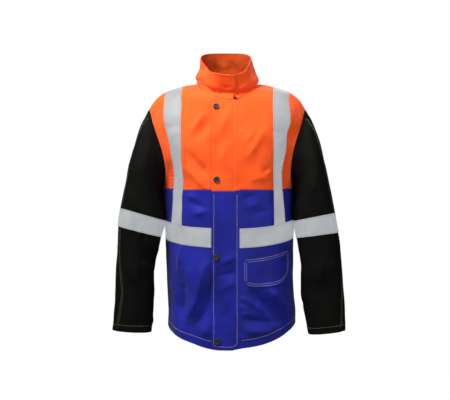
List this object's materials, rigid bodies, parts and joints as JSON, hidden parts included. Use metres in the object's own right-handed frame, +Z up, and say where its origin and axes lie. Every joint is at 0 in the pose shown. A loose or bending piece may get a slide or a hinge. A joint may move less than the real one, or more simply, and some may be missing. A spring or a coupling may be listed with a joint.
{
  "type": "welding jacket",
  "caption": "Hip-length welding jacket in worn form: two-tone cotton body, leather sleeves, reflective tape, stand collar and snap-closed storm flap.",
  "frame": {"origin": "middle of the neck opening, level with the points where the shoulder seams meet the collar", "axes": "+Z up, -Y out of the front, +X towards the wearer's left arm"},
  "size_m": [0.6246, 0.2928, 0.7985],
  "materials": {
    "orange_cotton": "matt sateen",
    "blue_cotton": "matt sateen",
    "black_leather": "soft split leather",
    "reflective_tape": "satin glass-bead coating",
    "gunmetal": "dark satin"
  },
  "bodies": {
    "root": {"front_right_upper": "orange_cotton", "front_left_upper": "orange_cotton", "back_upper": "orange_cotton", "collar": "orange_cotton", "storm_flap_upper": "orange_cotton", "front_right_lower": "blue_cotton", "front_left_lower": "blue_cotton", "back_lower": "blue_cotton", "storm_flap_lower": "blue_cotton", "pocket_flap": "blue_cotton", "right_sleeve_front": "black_leather", "right_sleeve_back": "black_leather", "left_sleeve_front": "black_leather", "left_sleeve_back": "black_leather", "waist_tape_right": "reflective_tape", "waist_tape_left": "reflective_tape", "waist_tape_back": "reflective_tape", "shoulder_tape_right": "reflective_tape", "shoulder_tape_left": "reflective_tape", "right_sleeve_tape": "reflective_tape", "left_sleeve_tape": "reflective_tape", "snap_top": "gunmetal", "snap_chest": "gunmetal", "snap_waist": "gunmetal", "snap_hem": "gunmetal"}
  },
  "joints": []
}
